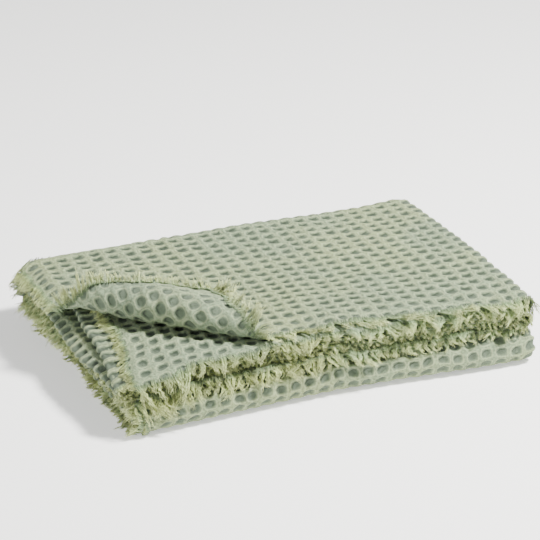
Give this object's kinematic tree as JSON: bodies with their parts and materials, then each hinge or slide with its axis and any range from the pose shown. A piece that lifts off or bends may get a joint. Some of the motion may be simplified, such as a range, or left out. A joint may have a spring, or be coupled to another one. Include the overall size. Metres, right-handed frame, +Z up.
{
  "type": "folded waffle weave cotton throw",
  "caption": "Woven waffle-cotton throw with frayed edges, folded into a low rectangular pack with one top corner turned back.",
  "frame": {"origin": "centre of the pack's bounding box, on the surface on which it lies", "axes": "+X along the pack's long side, away from the end with the turned-back corner; +Y to the smooth folded back; +Z up"},
  "size_m": [0.4548, 0.3324, 0.1057],
  "materials": {
    "waffle_cotton": "matt washed cotton in a waffle weave, sage green",
    "fringe_cotton": "loose matt cotton yarn ends, light yellow green"
  },
  "bodies": {
    "root": {"waffle_cloth": "waffle_cotton", "fringe_top_end": "fringe_cotton", "fringe_inner_end": "fringe_cotton", "fringe_top_side": "fringe_cotton", "fringe_inner_side": "fringe_cotton"}
  },
  "joints": []
}
